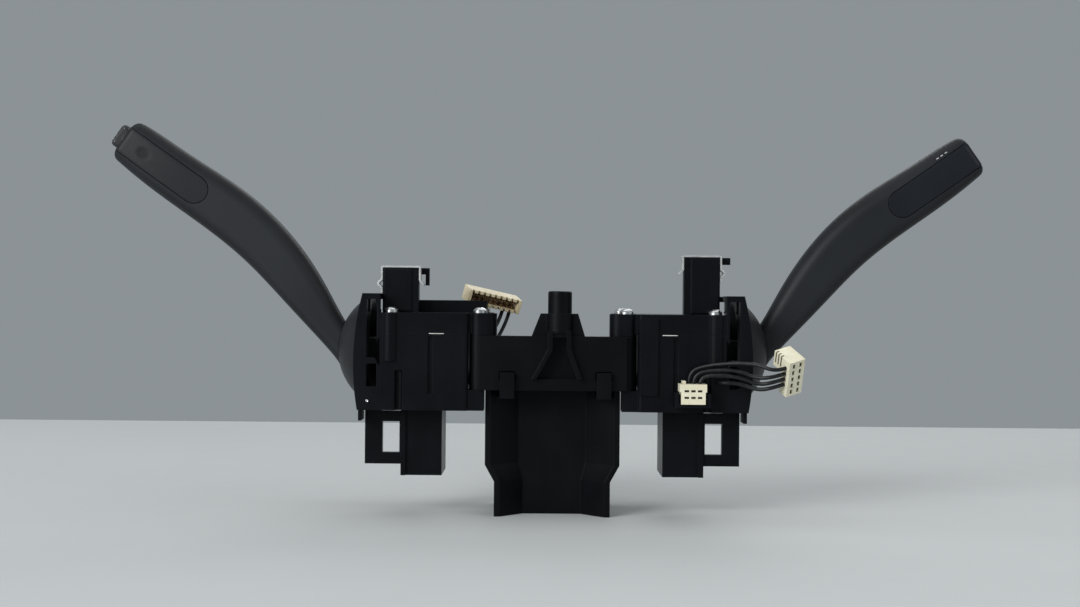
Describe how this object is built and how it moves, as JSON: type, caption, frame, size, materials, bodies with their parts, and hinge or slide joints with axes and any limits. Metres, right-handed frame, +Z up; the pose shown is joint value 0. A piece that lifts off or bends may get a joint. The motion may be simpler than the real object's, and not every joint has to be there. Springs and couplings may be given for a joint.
{
  "type": "combination stalk switch",
  "caption": "Steering-column combination switch: two angled stalks on ball-shaped domes, switch boxes with harness sockets, carrier beam with guide pin and a clamp saddle for the column tube.",
  "frame": {"origin": "on the steering column's axis at the saddle's lower end", "axes": "+X towards the wiper stalk, +Y away from the side that the picture shows, +Z up the column towards the steering wheel"},
  "size_m": [0.3468, 0.0649, 0.1528],
  "materials": {
    "housing": "near-black moulded plastic, fine grain",
    "stalk": "charcoal textured plastic, worn satin",
    "stalk_insert": "charcoal smooth plastic",
    "button": "charcoal plastic with pale scuffs",
    "mechanism": "brown-grey acetal",
    "slider_white": "white acetal",
    "connector": "ivory nylon",
    "board": "green laminate",
    "screw_steel": "zinc-plated steel",
    "spring_steel": "bright spring steel",
    "contact_metal": "copper alloy",
    "lead": "black wire insulation"
  },
  "bodies": {
    "base": {"column_saddle": "housing", "column_carrier": "housing", "left_module_housing": "housing", "left_module_cover": "housing", "left_shroud_clip": "spring_steel", "left_module_screws": "screw_steel", "left_bezel_frame": "housing", "left_detent_cam": "mechanism", "left_contact_board": "board", "left_harness_socket": "housing", "left_terminals": "contact_metal", "right_module_housing": "housing", "right_module_cover": "housing", "right_shroud_clip": "spring_steel", "right_module_screws": "screw_steel", "right_bezel_frame": "housing", "right_detent_cam": "mechanism", "right_contact_board": "board", "right_harness_socket": "housing", "right_terminals": "contact_metal", "right_plug_holder": "housing", "six_way_plug": "connector", "ten_way_plug": "connector", "left_header": "connector", "left_header_pins": "contact_metal", "right_lead_1": "lead", "right_lead_2": "lead", "right_lead_3": "lead", "right_lead_4": "lead", "left_lead_1": "lead", "left_lead_2": "lead"},
    "left_rocker_body": {"left_rocker": "mechanism", "left_pivot_pin": "screw_steel"},
    "left_lever": {"left_lever_hub": "stalk", "left_stalk_arm": "stalk", "left_stalk_insert": "stalk_insert", "left_detent_plunger": "mechanism", "left_plunger_spring": "spring_steel", "left_tip_board": "board", "left_button_spring": "spring_steel"},
    "left_button": {"left_end_button": "button"},
    "left_turn_slide": {"left_turn_slider": "slider_white"},
    "left_flash_slide": {"left_flash_slider": "slider_white"},
    "right_rocker_body": {"right_rocker": "mechanism", "right_pivot_pin": "screw_steel"},
    "right_lever": {"right_lever_hub": "stalk", "right_stalk_arm": "stalk", "right_stalk_insert": "stalk_insert", "right_detent_plunger": "mechanism", "right_plunger_spring": "spring_steel"},
    "right_wipe_slide": {"right_wipe_slider": "slider_white"},
    "right_wash_slide": {"right_wash_slider": "slider_white"}
  },
  "joints": [
    {"name": "left_turn", "type": "hinge", "parent": "base", "child": "left_rocker_body", "pos_m": [-0.0608, -0.013, 0.0634], "axis": [0, 0, 1], "range_deg": [-10, 10]},
    {"name": "left_flash", "type": "hinge", "parent": "left_rocker_body", "child": "left_lever", "pos_m": [-0.0608, -0.013, 0.0634], "axis": [0, 1, 0], "range_deg": [-5, 5], "stiffness_Nm_per_rad": 3, "springref_deg": 0.4},
    {"name": "left_end_button", "type": "slide", "parent": "left_lever", "child": "left_button", "axis": [0.8192, 0, -0.5736], "range_m": [0, 0.0015], "stiffness_N_per_m": 800, "deforming": ["left_button_spring"]},
    {"name": "left_turn_contact", "type": "slide", "parent": "base", "child": "left_turn_slide", "axis": [0, 1, 0], "range_m": [-0.00195, 0.00195]},
    {"name": "left_flash_contact", "type": "slide", "parent": "base", "child": "left_flash_slide", "axis": [0, 0, -1], "range_m": [-0.0014, 0.0014]},
    {"name": "right_wipe", "type": "hinge", "parent": "base", "child": "right_rocker_body", "pos_m": [0.0608, -0.013, 0.0634], "axis": [0, 0, 1], "range_deg": [-5.5, 11]},
    {"name": "right_wash", "type": "hinge", "parent": "right_rocker_body", "child": "right_lever", "pos_m": [0.0608, -0.013, 0.0634], "axis": [0, -1, 0], "range_deg": [0, 5], "stiffness_Nm_per_rad": 3},
    {"name": "right_wipe_contact", "type": "slide", "parent": "base", "child": "right_wipe_slide", "axis": [0, -1, 0], "range_m": [-0.0011, 0.0021]},
    {"name": "right_wash_contact", "type": "slide", "parent": "base", "child": "right_wash_slide", "axis": [0, 0, -1], "range_m": [0, 0.0014]}
  ],
  "couplings": [
    {"joint": "left_turn_contact", "follows": "left_turn", "m_per_rad": 0.0105},
    {"joint": "left_flash_contact", "follows": "left_flash", "m_per_rad": 0.015},
    {"joint": "right_wipe_contact", "follows": "right_wipe", "m_per_rad": 0.0105},
    {"joint": "right_wash_contact", "follows": "right_wash", "m_per_rad": 0.015}
  ]
}
